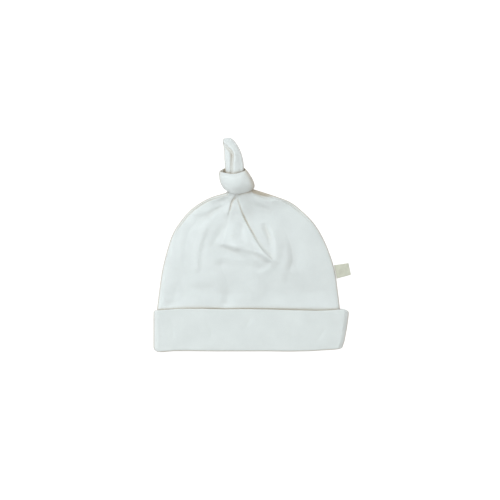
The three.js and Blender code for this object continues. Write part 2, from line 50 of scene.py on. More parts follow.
# The sizes that the solids have too.
GAP = 0.35
CLOTH, CUFF_CLOTH = 1.4, 1.8
CROWN_WIDTH, CROWN_RISE = 155.0, 98.0
CUFF_HEIGHT, CUFF_LOFT, CUFF_ROLL = 35.5, 15.0, 5.8
CUFF_EASE, CUFF_TUCK, FOLD_DEPTH = 0.6, 1.4, 2.8
HALF = CROWN_WIDTH / 2
SEAT = CUFF_CLOTH + GAP
RIM = FOLD_DEPTH + GAP

# The crown's height, the rounding of its sides behind and in front, and how far in from them the front
# still arches. It comes out of the cuff, is fully risen, starts to be gathered and stops being hollow at
# these levels, which go from 0 at the cuff's top to 1 at the neck.
CROWN_LOFT, CROWN_ROLL, FRONT_ROLL = 16.6, 4.0, 2.4
ARCH_REACH = 58.0
OUT_OF_CUFF, RISEN, GATHERS, HOLLOW_TO = 0.12, 0.42, 0.72, 0.9

# How wide the painted shade at an edge, a seam or a hollow is, how far in from the crown's edge its seam
# runs, and the painted-shade distance that a piece without painted shade is given.
PAINTED_SHADE_WIDTH, SEAM_IN, NO_PAINTED_SHADE = 1.3, 2.1, 9.0

# The stalk inside the knot: its size, how high it lies, how far it leans left and lifts in degrees, and
# how far along it from the knot's middle the crown's neck is, with the ends of its straight part.
STALK_WIDTH, STALK_THICKNESS, STALK_HEIGHT = 16.0, 11.4, 12.6
STALK_LEAN, STALK_LIFT = 10.0, 6.0
NECK_AT, NECK_DEPTH, STALK_END = -7.93, 2.5, -1.0

# The photograph's frame: its width in pixels, millimetres to a pixel, and where x = 0 and y = 0 lie.
PHOTO_WIDTH = 500
PIXEL = 0.846
ZERO_X, ZERO_Y = 248.5, 351.0

cuff_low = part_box("cuff")[0]
crown_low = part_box("crown")[0]
SHIFT = np.array([cuff_low[0] / MM + HALF + SEAT + CUFF_EASE, crown_low[1] / MM - RIM, 0.0])

# The crown's outline and middle from the cuff up to the neck, as shares of its half width and rise.
LEVELS = {
    "left": [-1, -0.976, -0.943, -0.889, -0.829, -0.747, -0.638, -0.518, -0.398, -0.25],
    "left_rise": [0, 0.165, 0.338, 0.511, 0.649, 0.753, 0.853, 0.922, 0.967, 1.0],
    "middle": [0, 0, -0.005, -0.016, -0.033, -0.049, -0.065, -0.076, -0.082, -0.103],
    "middle_rise": [0, 0.139, 0.277, 0.411, 0.519, 0.61, 0.701, 0.788, 0.874, 1.0],
    "right": [1, 0.976, 0.943, 0.872, 0.791, 0.703, 0.594, 0.469, 0.322, 0.045],
    "right_rise": [0, 0.165, 0.338, 0.511, 0.649, 0.753, 0.84, 0.918, 0.965, 1.035],
}

# The cuff's edges as they run through the photograph, with the right one as its x at shares of the
# cuff's height, and how far its corners are rounded, in millimetres.
CUFF_TOP = [(153, 310.9), (155, 310.3), (159, 310), (171, 309), (182, 308.4), (202, 308.3), (225, 308.9)]
CUFF_TOP += [(245, 308.6), (266, 309), (288, 309.6), (316, 310.4), (331, 310), (341, 309.1), (345, 309.4)]
CUFF_TOP += [(349.5, 311.2)]
CUFF_FOOT = [(153, 351), (157, 352), (161, 352.1), (167, 351.5), (174, 350.9), (190, 350.8), (216, 351.0)]
CUFF_FOOT += [(266, 350.9), (288, 351.2), (309, 350.9), (331, 349.7), (342, 349)]
CUFF_RIGHT = [(0, 342.2), (0.25, 344.9), (0.55, 347.1), (0.8, 348.5), (1, 349.3)]
CUFF_LEFT = 153.3
CORNERS = {"left_foot": 3.4, "left_top": 1.1, "right_foot": 1.6, "right_top": 1.9}

# The knot's wrap at eighths of a turn from its right side over its front: its lower rim, its widest
# place and its upper rim, in the photograph's frame with the height above the table in millimetres, and
# the middle and half size of the hole through it.
WRAP = {
    "low": [(251.8, 188.2, 9.5), (247.8, 192.5, 15.6), (235.3, 194.7, 20.8), (228, 191.8, 18.8)]
    + [(223.6, 188, 11), (229, 186, 5), (237, 186, 3.5), (248, 186.5, 5)],
    "wide": [(253.9, 182.5, 12), (251, 184.5, 21), (236.5, 184, 26.4), (223.6, 182.5, 21)]
    + [(219.6, 178.5, 12), (226, 176.5, 4), (237, 176, 1.7), (248, 177, 4)],
    "high": [(245.2, 169.4, 13.4), (243.4, 171.8, 17.6), (233.5, 174.7, 21.4), (224.4, 173.4, 19.6)]
    + [(220.4, 171.4, 14.5), (226, 168, 9), (235.5, 167, 7), (242.2, 167.2, 9)],
}
WRAP_CENTRE, WRAP_INSIDE = (237, 182, 12.8), (8.9, 6.5)

# Folds in each piece's front, here and below: a name, the places that the line runs through in the
# photograph's frame, the height along it in millimetres, and its width on the left and right of its run.
KNOT_FOLDS = [
    ("under_rim", [(220.5, 173.8), (226, 175.6), (234, 176.4), (243, 175.4)],
     [0, -0.35, -0.45, 0], 0.5, 0.6),
    ("rim", [(224, 174.2), (233.5, 175.1), (243, 173.6)], [0, 0.3, 0], 0.7, 0.7),
    ("right_crease", [(242, 176), (246, 178.6), (249.5, 183.5)], [0, -0.6, 0], 0.7, 0.9),
    ("side_crease", [(245, 173.5), (249.5, 178), (252, 185)], [0, -0.5, 0], 0.7, 1.0),
    ("low_crease", [(230, 190.5), (238, 191), (247, 188.5)], [0, -0.3, 0], 0.9, 1.1),
    ("left_crease", [(221.5, 179), (224, 184), (228.5, 188.5)], [0, -0.3, 0], 0.9, 1.1),
]

# The tail from inside the knot to its tip: its left and right edges in the photograph's frame, its
# middle's height above the table and half its thickness in millimetres.
TAIL = {
    "left_x": [228.6, 226.2, 225.3, 224.6, 224.3, 223.6, 222.8, 223.0, 225.0],
    "left_y": [181.6, 174.5, 168.3, 161.0, 153.3, 146.7, 142.0, 139.3, 137.9],
    "right_x": [243.2, 243.7, 243.9, 243.0, 240.8, 238.3, 235.3, 232.9, 230.2],
    "right_y": [181.6, 174.5, 168.0, 160.0, 152.2, 146.8, 142.1, 139.5, 137.7],
    "middle": [13.6, 14.0, 13.6, 12.1, 10.2, 8.2, 6.8, 6.2, 5.9],
    "thick": [5.0, 5.3, 5.6, 5.7, 5.4, 4.9, 4.3, 3.6, 2.2],
}
TAIL_FOLDS = [
    ("valley", [(223.4, 144.2), (228.4, 148.8), (232.3, 153.8), (232.3, 161), (231.6, 176)],
     [-1.6, -2.2, -2.4, -2.2, -1.9], 0.9, 1.2),
    ("lip", [(226.5, 145.6), (231.2, 149.6), (234.8, 155), (235, 162), (234.5, 174)],
     [0.1, 0.7, 0.8, 0.5, 0.2], 1.2, 1.5),
    ("left_crease", [(227.6, 155), (228.2, 164), (227.6, 174)], [0, -0.6, -0.5], 0.7, 0.7),
    ("right_crease", [(238, 152), (240.2, 161), (240.4, 173)], [0, -0.6, -0.6], 0.8, 1.1),
    ("tip", [(223.6, 140.2), (228.5, 141.3), (233.5, 144)], [-0.5, -0.5, 0], 0.6, 0.8),
]

# The crown's folds, measured in the photograph. The places, heights and widths of most were then fitted
# to its light and shade.
FOLDS = [
    ("left_tuck", [(236.8, 195.5), (234.2, 199), (232, 202.5), (230.3, 209), (228.3, 217)],
     [-0.6, -1.3, -1.3, -1.0, 0], 0.55, 0.55),
    ("long_tuck", [(237.2, 198), (240, 207), (243.6, 216), (250, 228.5), (257, 241), (263, 250)],
     [-0.7, -0.9, -0.9, -0.8, -0.5, 0], 0.42, 0.42),
    ("recess", [(253.5, 190.8), (259, 193), (266, 195.8), (274, 199.4)], [0, -7.5, -5, 0], 1.2, 1.5),
    ("tuck_ridge", [(251.4, 235), (259.4, 247.5), (266.4, 255.4), (273, 261)],
     [-0.3, 1.5, 1.5, 0], 1.4, 2.0),
    ("left_of_pleat", [(227.9, 213.2), (229.3, 224.2), (225.8, 238.2), (237, 245.2)],
     [1.5, -1.4, -1, 1.8], 3.6, 2.4),
    ("pleat_dent", [(242.2, 219.4), (241.2, 229.6), (240.1, 239.2)], [-0.7, -2.4, -1.7], 3.2, 4.3),
    ("left_valley", [(226, 216), (221, 230), (214.5, 243)], [-0.3, -1.7, -0.8], 2.4, 2.8),
    ("left_inner", [(211.4, 216.6), (204.9, 230), (201.4, 239), (197.4, 252.6), (197.5, 268)],
     [-0.6, 0.7, 0.8, 1.2, 0.8], 1.8, 2.5),
    ("left_wide", [(202.4, 227.4), (196, 245.2), (193.5, 265.2)], [1.5, -0.3, -0.7], 7.8, 6.4),
    ("left_far", [(177.6, 237.4), (171, 249.4), (173, 266)], [-0.9, 0.4, 1.2], 5.3, 7),
    ("brow", [(235.5, 199.1), (226, 204.2), (218, 205.4), (206, 211.5), (196, 212.9)],
     [-0.6, -0.1, 1.4, 0.7, 0.9], 1.8, 2.6),
    ("brow_valley", [(231.5, 203.8), (219, 205.1), (204, 217.7), (192, 230.8)],
     [-1.2, -1.9, 0.7, 0.7], 6.9, 7.1),
    ("right_brow", [(247, 202.5), (255, 205.5), (263.5, 208.8), (274, 213.5)],
     [-0.4, -1.5, -1.7, 0], 2.2, 3.4),
    ("hook_valley", [(263.6, 223), (266, 230), (269.8, 238.5), (273.1, 248)],
     [0, -2.1, -1.8, 0], 1.8, 2.0),
    ("hook", [(269, 224), (273.6, 237.5), (276.5, 250), (274.4, 261), (266, 270), (255, 276.5)],
     [0, 1.0, 1.2, 1.2, 0.6, 0], 2.6, 2.2),
    ("right_outer", [(284.6, 226), (289.1, 238), (292.6, 250), (293.2, 262), (288.6, 272)],
     [-0.3, -1, -1.8, -2, -0.3], 6.5, 2.6),
    ("low_right", [(283.6, 270), (271, 283), (252.6, 294)], [1.1, 0, 1.8], 4.6, 7.6),
    ("low_left", [(179.2, 283.6), (196.5, 289), (211, 287.6)], [-0.2, -0.8, -0.6], 2.2, 3),
    ("low_middle", [(221.4, 265.4), (229.2, 283.6), (227.2, 302.6)], [-1.6, -0.9, -1.5], 4.7, 3.4),
    ("far_left", [(175, 269.6), (172.4, 284.6), (173, 295.4)], [-0.3, 0.7, -0.8], 2.9, 6.9),
    ("far_left_low", [(160.7, 286.4), (165.4, 298), (168.4, 305)], [0.3, 0.8, -1.5], 6.7, 2.1),
    ("foot_valley", [(214.4, 247.6), (230.2, 252.6), (243, 258), (254, 259.7)],
     [-0.5, -2.2, -2.3, 0.6], 3.2, 6.7),
    ("tip", [(242.4, 264.2), (259.4, 266.8), (274.4, 266.2)], [0.2, -0.8, 0], 2.5, 2.6),
    ("foot_soft", [(218.2, 249), (227, 256), (243.6, 259), (254.4, 260.4)],
     [-0.7, 1.1, 1.9, -0.1], 6.2, 4),
    ("pleat_corner", [(218, 238), (222, 243), (229, 247)], [0.4, 0.8, -0.3], 2.4, 5.0),
    ("tip_ridge", [(258.4, 252.6), (264.8, 257.5), (275.6, 262.6)], [0.5, 1.9, 0.2], 1.6, 1.6),
    ("shoulder", [(199, 221.4), (190.4, 232), (186, 246)], [-1.1, -1.3, -1.1], 7, 2.8),
    ("left_low", [(187, 275.2), (189, 287.2), (200, 296.8)], [0, 0.9, 0.8], 4, 4),
    ("inner_valley", [(218.2, 219.2), (207.6, 234.6), (204, 248.6), (203.6, 264.6)],
     [-0.4, -0.3, -0.3, 0], 2, 1.9),
    ("upper_valley", [(229.6, 202), (214.8, 210), (204.4, 219), (195, 229)],
     [-1.2, -1.4, -1.2, 0.2], 2, 4.5),
]

# The pleat: its edges as they run through the photograph, each with the side of the run that the
# pleat lies on and the width that its height grows over, which starts a little outside the edge. The
# height grows from a share of the full one between two of the photograph's rows.
PLEAT = [
    ([(237, 196.5), (243.6, 216), (250, 228.5), (257, 241), (264, 251), (276, 263)], -1, 0.9),
    ([(236.2, 196), (231.2, 206), (228, 217), (225, 227), (222, 238), (219, 248)], 1, 3.2),
    ([(213, 244), (224, 248), (236, 252), (250, 254.5), (262, 258), (276, 263)], 1, 4.2),
]
PLEAT_HEIGHT, PLEAT_SOFT = 1.4, 0.2
PLEAT_START, PLEAT_GROWS = 0.35, (200, 250)

# Faint creases of the cuff's front.
CUFF_FOLDS = [
    ("right_crease", [(328, 324), (321, 334), (315, 344)], [0, -0.35, 0], 1.4, 1.8),
    ("middle_crease", [(252, 314), (248.5, 322), (244.5, 331)], [0, -0.3, 0], 1.2, 1.6),
    ("left_crease", [(171, 316), (174, 330), (172, 345)], [0, -0.25, 0], 1.2, 1.6),
    ("far_crease", [(207, 320), (212, 333), (209, 344)], [0, -0.2, 0], 1.6, 2.0),
    ("wide_crease", [(282, 318), (290, 331), (294, 345)], [0, -0.25, 0], 1.8, 2.4),
]

# Where the crown's folds have their full height, as a level and in millimetres from the edge, and the
# same where it is gathered, with the share of their height that is left and the gathers' own.
FOLDS_FROM_CUFF, FOLDS_FROM_EDGE = 0.06, 5.0
GATHERED_FROM_EDGE, GATHERED_FOLDS = 6.0, 0.8
GATHER_HEIGHT, GATHER_COUNT = 0.5, 9

# The groove along the crown's seam: its depth and width, and what it gains between two levels.
GROOVE, GROOVE_WIDTH = 0.15, 0.45
GROOVE_TOP, GROOVE_GROWS = 0.8, (0.45, 0.7)

# The painted shadow in the seam at the upper left, from one share of the crown's rise to another, and the
# painted shadow in the recess right of the knot, from and to these x.
UPPER_SEAM_SHADOW_RISE, UPPER_SEAM_SHADE = (0.55, 0.75), 0.6
RECESS_SHADOW_STARTS, RECESS_SHADOW_ENDS, RECESS_SHADOW_WIDTH = (1.5, 4), (9, 25), 2.0

# The cuff's soft ridge inside its side edges and the line of stitches under its top edge.
SIDE_RIDGE, SIDE_RIDGE_IN, SIDE_RIDGE_WIDTH = 0.35, 3.6, 1.0
STITCH, STITCH_DOWN, STITCH_WIDTH = 0.12, 1.9, 0.4

# Soft waves in the cloth of each piece: height, random seed and length.
RUMPLES = {
    "crown": [(0.22, 3, 34), (0.05, 5, 11)],
    "cuff": [(0.16, 11, 26)],
    "knot": [(0.18, 21, 9), (0.05, 22, 3.5)],
    "tail": [(0.22, 31, 8), (0.06, 32, 3)],
}

# The label: its place up the crown's right edge as a share of the rise, its size, how far it droops in
# degrees, how much its sides curl, and its width at the seam and at the fold as shares.
LABEL_RISE = 0.319
LABEL_LENGTH, LABEL_WIDTH, LABEL_PLY, LABEL_OPENING = 12.4, 11.0, 0.5, 0.5
LABEL_DROOP, LABEL_CURL, LABEL_TAPER = 5, 0.525, (1.05, 0.93)

# The colour of the painted shade in the cloth's creases, at its edges and seams and in its hollows, and
# its share where the painted shade is darkest.
PAINTED_SHADE_COLOUR, PAINTED_SHADE_MOST = (0.5, 0.41, 0.3), 0.8

# How finely each piece is divided, from side to side or round, and along.
CROWN_FRONT, CROWN_BACK, CROWN_HIDDEN, CROWN_SHOWN, CROWN_INSIDE_EVERY = 250, 70, 16, 210, 5
CUFF_FRONT, CUFF_BACK, CUFF_UP, CUFF_DOWN = 250, 80, 70, 8
KNOT_ROUND, KNOT_OUTSIDE, KNOT_INSIDE = 220, 90, 36
TAIL_ROUND, TAIL_ROWS = 150, 170
LABEL_ACROSS, LABEL_RUN, LABEL_BEND = 30, 24, 13


def mix(a, b, f):
    return a + (b - a) * f


def ease(x, low, high):
    """Rises smoothly from 0 at low to 1 at high."""
    f = np.clip((x - low) / (high - low), 0, 1)
    return f * f * (3 - 2 * f)


def bell(distance, width):
    """1 at no distance, and less and less beyond the width."""
    return np.exp(-0.5 * (distance / width) ** 2)


def quarter(distance, radius):
    """Height of a quarter round that far in from its edge."""
    left = np.maximum(0, radius - np.maximum(0, distance))
    return np.sqrt(np.maximum(0, radius * radius - left * left))


def arch(distance):
    """Share of its full height that the cloth has that far in from its edge."""
    left = 1 - np.minimum(1, np.maximum(0, distance) / ARCH_REACH)
    return 1 - left * left


def smooth(a, b, c, d, f):
    """The smooth curve through four values, at the share f of the way from b to c."""
    return b + 0.5 * f * (c - a + f * (2 * a - 5 * b + 4 * c - d + f * (3 * (b - c) + d - a)))


def column(rows, name, at):
    """A column of a table as a smooth curve, with at from 0 in the first row to 1 in the last."""
    values = np.asarray(rows[name], float)
    place = np.clip(at, 0, 1) * (len(values) - 1)
    row = np.minimum(place.astype(int), len(values) - 2)
    neighbours = (values[np.clip(row + k, 0, len(values) - 1)] for k in (-1, 0, 1, 2))
    return smooth(*neighbours, place - row)


def smooth_line(points, steps):
    """A smooth line through the points, with that many steps between one and the next."""
    at = np.linspace(0, 1, (len(points) - 1) * steps + 1)
    table = {"x": points[:, 0], "y": points[:, 1]}
    return np.stack([column(table, "x", at), column(table, "y", at)], axis=1)


def round_loop(rows, count):
    """A smooth closed curve through the rows."""
    place = np.arange(count) / count * len(rows)
    row = place.astype(int)
    neighbours = (rows[(row + k) % len(rows)] for k in (-1, 0, 1, 2))
    return smooth(*neighbours, (place - row)[:, None])


def from_photo(rows):
    """Rows that begin with the photograph's x and y, with both turned into millimetres."""
    rows = np.array(rows, float)
    rows[..., 0] = (rows[..., 0] - ZERO_X) * PIXEL
    rows[..., 1] = (ZERO_Y - rows[..., 1]) * PIXEL
    return rows


def nearest(x, y, line):
    """How far each point is from the line, where along it that is, counted in the line's segments, and
    how far to the left of its run the point lies."""
    best = np.full(x.shape, np.inf)
    place, side = np.zeros(x.shape), np.zeros(x.shape)
    for i in range(len(line) - 1):
        run = line[i + 1] - line[i]
        to_x, to_y = x - line[i][0], y - line[i][1]
        share = np.clip((to_x * run[0] + to_y * run[1]) / (run @ run), 0, 1)
        away = np.hypot(to_x - share * run[0], to_y - share * run[1])
        closer = away < best
        best = np.where(closer, away, best)
        place = np.where(closer, i + share, place)
        side = np.where(closer, (run[0] * to_y - run[1] * to_x) / math.hypot(*run), side)
    return best, place, side


def places_around(front, back, even):
    """Across, on the front or not, and turn of each place round a flattened tube."""
    back_even = 0.3
    i = np.arange(front) / front
    across = mix(np.cos(np.pi * i), 1 - 2 * i, even)
    j = np.arange(back) / back
    under = -mix(np.cos(np.pi * j), 1 - 2 * j, back_even)
    return (
        np.concatenate([across, under]),
        np.concatenate([np.ones(front, bool), np.zeros(back, bool)]),
        np.concatenate([np.pi * i, np.pi * (1 + j)]),
    )


def waves(x, y, seed, size, count=14):
    """Soft random undulation between about -1 and 1, with waves of about that size."""
    random = np.random.default_rng(seed)
    total = np.zeros(np.broadcast(x, y).shape)
    for _ in range(count):
        turn, phase = random.uniform(0, 2 * np.pi, 2)
        length = size * random.uniform(0.7, 1.9)
        total += np.sin(2 * np.pi * (x * np.cos(turn) + y * np.sin(turn)) / length + phase)
    return total / math.sqrt(count * 2)


def rumples(x, y, piece):
    """Height of the soft waves in a piece's cloth."""
    return sum(height * waves(x, y, seed, size) for height, seed, size in RUMPLES[piece])


def fold_height(x, y, folds):
    """Height that the folds add at each point, in millimetres."""
    total = np.zeros(x.shape)
    for _, points, heights, wide_left, wide_right in folds:
        line = smooth_line(from_photo(points), 14)
        reach = 4 * max(wide_left, wide_right)
        low, high = line.min(axis=0) - reach, line.max(axis=0) + reach
        near = (x > low[0]) & (x < high[0]) & (y > low[1]) & (y < high[1])
        away, place, side = nearest(x[near], y[near], line)
        least = min(wide_left, wide_right)
        wide = mix(wide_right, wide_left, ease(side, -least, least))
        height = column({"height": heights}, "height", place / (len(line) - 1))
        total[near] += height * bell(away, wide)
    return total


def pleat_height(x, y):
    """Height of the raised triangle of the pleat, which grows towards its foot."""
    share = np.ones(x.shape)
    for points, sign, slope in PLEAT:
        away, _, side = nearest(x, y, smooth_line(from_photo(points), 8))
        share = np.minimum(share, ease(sign * np.sign(side) * away, -PLEAT_SOFT, slope))
    start, end = ((row - ZERO_Y) * PIXEL for row in PLEAT_GROWS)
    return share * PLEAT_HEIGHT * mix(PLEAT_START, 1.0, ease(-y, start, end))


# Meshes


def add_uv(mesh, name, places):
    """A UV layer in metres from each point's place in millimetres."""
    loops = np.empty(len(mesh.loops), int)
    mesh.loops.foreach_get("vertex_index", loops)
    layer = mesh.uv_layers.new(name=name)
    layer.data.foreach_set("uv", (np.asarray(places)[loops] * MM).astype(np.float32).ravel())


def build(name, points, faces, uv, painted_shade_distance=None, body="root"):
    """A smooth mesh object from points in millimetres, faces, and each point's place on its cloth and
    its painted-shade distance, which sets where its colour is darkened as painted shade."""
    mesh = bpy.data.meshes.new(name)
    mesh.from_pydata(((np.asarray(points) + SHIFT) * MM).tolist(), [], faces)
    away = np.full(len(points), NO_PAINTED_SHADE) if painted_shade_distance is None else painted_shade_distance
    add_uv(mesh, "cloth", uv)
    add_uv(mesh, "painted_shade_distance", np.stack([away, 0 * away], axis=1))
    mesh.polygons.foreach_set("use_smooth", np.ones(len(mesh.polygons), bool))
    piece = bpy.data.objects.new(name, mesh)
    bpy.context.scene.collection.objects.link(piece)
    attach(piece, body)
    return piece


def ring_faces(rings, count, closed):
    """Quads between rings of points, whose outer ones follow each other towards the tail."""
    faces = []
    for ring in range(rings if closed else rings - 1):
        a, b = ring * count, ((ring + 1) % rings) * count
        faces += [(a + i, b + i, b + (i + 1) % count, a + (i + 1) % count) for i in range(count)]
    return faces


def with_caps(points, uv, faces, count):
    """Closes an open row of rings with a fan at each end."""
    rings = len(points) // count
    for ring, turned in ((0, False), (rings - 1, True)):
        at = ring * count
        points = np.vstack([points, points[at : at + count].mean(axis=0)])
        uv = np.vstack([uv, uv[at : at + count].mean(axis=0)])
        for i in range(count):
            pair = (at + i, at + (i + 1) % count)
            faces.append((*(pair[::-1] if turned else pair), len(points) - 1))
    return points, uv, faces


# Crown


def crown_level(t):
    """The level's left, middle and right points for each t from -1 at the rim to 1 at the neck."""
    sides = []
    for side, sign in (("left", -1), ("middle", 0), ("right", 1)):
        tucked = sign * HALF - (CUFF_TUCK * -t if sign > 0 else 0)
        risen = CUFF_HEIGHT + column(LEVELS, side + "_rise", t) * CROWN_RISE
        x = np.where(t < 0, tucked, column(LEVELS, side, t) * HALF)
        y = np.where(t < 0, mix(CUFF_HEIGHT, RIM, -t), risen)
        sides.append(np.stack([x, y], axis=-1))
    return sides


def inward(t, side):
    """The direction into the cloth from its left (0) or right (2) edge at each level."""
    step = 0.01
    along = crown_level(np.minimum(1, t + step))[side] - crown_level(np.maximum(-1, t - step))[side]
    along /= np.linalg.norm(along, axis=-1, keepdims=True)
    return np.stack([along[..., 1], -along[..., 0]], axis=-1) * (1 if side == 0 else -1)


def edge_distance(x, y):
    """How far each point is from the crown's left or right edge."""
    left, _, right = crown_level(np.linspace(-1, 1, 121))
    return np.minimum(nearest(x, y, left)[0], nearest(x, y, right)[0])


def lowest_near(values, reach):
    """Each value's lowest neighbour within that many rows and columns."""
    lowest = values.copy()
    for axis in (0, 1):
        base = lowest.copy()
        for k in range(1, reach + 1):
            for step in (-k, k):
                lowest = np.minimum(lowest, np.roll(base, step, axis=axis))
    return lowest


def crown_surface(t, across, front, turn, inset, folds):
    """Points of the crown's cloth on a grid of levels and places, that far in from its outside, and
    the height of its folds, which is worked out where none is given."""
    left, middle, right = crown_level(t)
    left = left + inward(t, 0) * inset
    right = right + inward(t, 2) * inset
    half, sag = (right - left) / 2, (left + right) / 2 - middle
    p = middle[:, None] + half[:, None] * across[None, :, None] + sag[:, None] * across[None, :, None] ** 2
    x, y = p[..., 0], p[..., 1]
    t, on_front = t[:, None], front[None, :]

    in_cuff = 1 - ease(t, 0, OUT_OF_CUFF)
    roll = mix(np.where(on_front, FRONT_ROLL, CROWN_ROLL), CUFF_ROLL - SEAT, in_cuff)
    edge = mix(CROWN_ROLL, CUFF_ROLL, in_cuff)
    risen = 1 - (1 - np.clip(t / RISEN, 0, 1)) ** 2
    loft = mix(CUFF_LOFT - 2 * CUFF_ROLL, CROWN_LOFT - CROWN_ROLL - FRONT_ROLL, risen)
    distance = np.maximum(0, edge_distance(x, y) - inset)
    rolled = quarter(distance, roll - inset)
    if folds is None:
        folds = fold_height(x, y, FOLDS) + pleat_height(x, y) + rumples(x, y, "crown")
    show = ease(t, 0, FOLDS_FROM_CUFF) * ease(distance, 0, FOLDS_FROM_EDGE)
    outside = inset == 0
    groove = (GROOVE_TOP * ease(t, *GROOVE_GROWS) + GROOVE) * bell(distance - SEAM_IN, GROOVE_WIDTH)
    groove = groove * ease(t, 0, 0.05) if outside else 0
    z = np.where(on_front, edge + rolled + loft * arch(distance) + show * folds - groove, edge - rolled)

    gathered = ease(t, GATHERS, 1)
    gathers = GATHER_HEIGHT * np.sin(turn * GATHER_COUNT + 0.6) if outside else 0
    stalk = STALK_HEIGHT + (STALK_THICKNESS / 2 - inset) * np.sin(turn)[None, :]
    keep = ease(distance, 0, GATHERED_FROM_EDGE) * on_front
    z = mix(z, stalk + show * folds * keep * GATHERED_FOLDS, gathered)
    return np.stack([x, y, z + gathered * (1 - gathered) * 4 * gathers * keep], axis=-1), folds


def leaning(lean, lift):
    """The direction of the tail, leaning left and lifted by those degrees."""
    a, b = math.radians(lean), math.radians(lift)
    return np.array([-math.sin(a) * math.cos(b), math.cos(a) * math.cos(b), math.sin(b)])


def frame_of(axis):
    """The directions to the side of an axis and up from it."""
    side = np.cross(axis, [0, 0, 1])
    side /= np.linalg.norm(side)
    return side, np.cross(side, axis)


NECK = crown_level(np.array([1.0]))
STALK_AXIS = leaning(STALK_LEAN, STALK_LIFT)
STALK_SIDE, STALK_UP = frame_of(STALK_AXIS)
KNOT_AT = np.array([*((NECK[0][0] + NECK[2][0]) / 2), STALK_HEIGHT]) - STALK_AXIS * NECK_AT


def stalk_ring(along, turn):
    """Points round the stalk, that far along it from the knot's middle."""
    return (
        KNOT_AT
        + STALK_AXIS * along
        + STALK_SIDE * STALK_WIDTH / 2 * np.cos(turn)[:, None]
        + STALK_UP * STALK_THICKNESS / 2 * np.sin(turn)[:, None]
    )


def make_crown():
    across, on_front, turn = places_around(CROWN_FRONT, CROWN_BACK, 0.75)
    in_cuff = np.linspace(-1, 0, CROWN_HIDDEN, endpoint=False)
    t = np.concatenate([in_cuff, np.linspace(0, 1, CROWN_SHOWN)])
    outside, folds = crown_surface(t, across, on_front, turn, 0.0, None)
    hollow = t < HOLLOW_TO
    inner_rows = np.arange(0, int(hollow.sum()), CROWN_INSIDE_EVERY)[::-1]
    lowest = lowest_near(folds, 3)
    inside, _ = crown_surface(t[inner_rows], across, on_front, turn, CLOTH, lowest[inner_rows])
    stub = np.array([stalk_ring(along, turn) for along in (NECK_AT + NECK_DEPTH, STALK_END)])
    rings = np.concatenate([inside, outside, stub])
    points = rings.reshape(-1, 3)
    faces = ring_faces(len(rings), len(across), False)
    points, uv, faces = with_caps(points, points[:, :2].copy(), faces, len(across))

    x, y = points[:, 0], points[:, 1]
    # Painted shade along the crown's left and right edges, painted shadow in the seam's groove at the
    # upper left, and painted shadow in the recess right of the knot.
    edge = edge_distance(x, y)
    upper_left_shadow = ease((y - CUFF_HEIGHT) / CROWN_RISE, *UPPER_SEAM_SHADOW_RISE) * (x < 0)
    painted_shade_distance = np.minimum(edge, np.abs(edge - SEAM_IN) + PAINTED_SHADE_WIDTH * (1 - UPPER_SEAM_SHADE * upper_left_shadow))
    painted_recess_shadow = ease(x, *RECESS_SHADOW_STARTS) * (1 - ease(x, *RECESS_SHADOW_ENDS)) * (y > CUFF_HEIGHT)
    return build("crown_jersey", points, faces, uv, painted_shade_distance - RECESS_SHADOW_WIDTH * painted_recess_shadow)


# Cuff


def corner(height, radius):
    """How far an edge draws in at that height beside a rounded corner."""
    left = np.clip(radius - height, 0, radius)
    return radius - np.sqrt(radius * radius - left * left)


def cuff_section():
    """The wall as how far in and how high: up the outside, over the top, down the inside, and round the
    fold that turns in under the crown's rim."""
    lip = SEAT + CLOTH
    section = [(0.8, 0.2), (0.25, 0.65), (0, 1.3)]
    section += [(0, y) for y in np.linspace(2.0, CUFF_HEIGHT - 1.1, CUFF_UP)]
    section += [(0.1, CUFF_HEIGHT - 0.5), (0.4, CUFF_HEIGHT - 0.12), (0.9, CUFF_HEIGHT)]
    section += [(1.4, CUFF_HEIGHT - 0.12), (1.7, CUFF_HEIGHT - 0.5), (CUFF_CLOTH, CUFF_HEIGHT - 1.1)]
    section += [(CUFF_CLOTH, y) for y in np.linspace(CUFF_HEIGHT - 3, FOLD_DEPTH + 1, CUFF_DOWN)]
    section += [(CUFF_CLOTH, FOLD_DEPTH), (lip - 0.5, FOLD_DEPTH)]
    section += [(lip, FOLD_DEPTH - 0.7), (lip, 0.9), (lip - 0.3, 0.25), (lip - 0.9, 0.0), (1.7, 0.0)]
    return np.array(section, float)


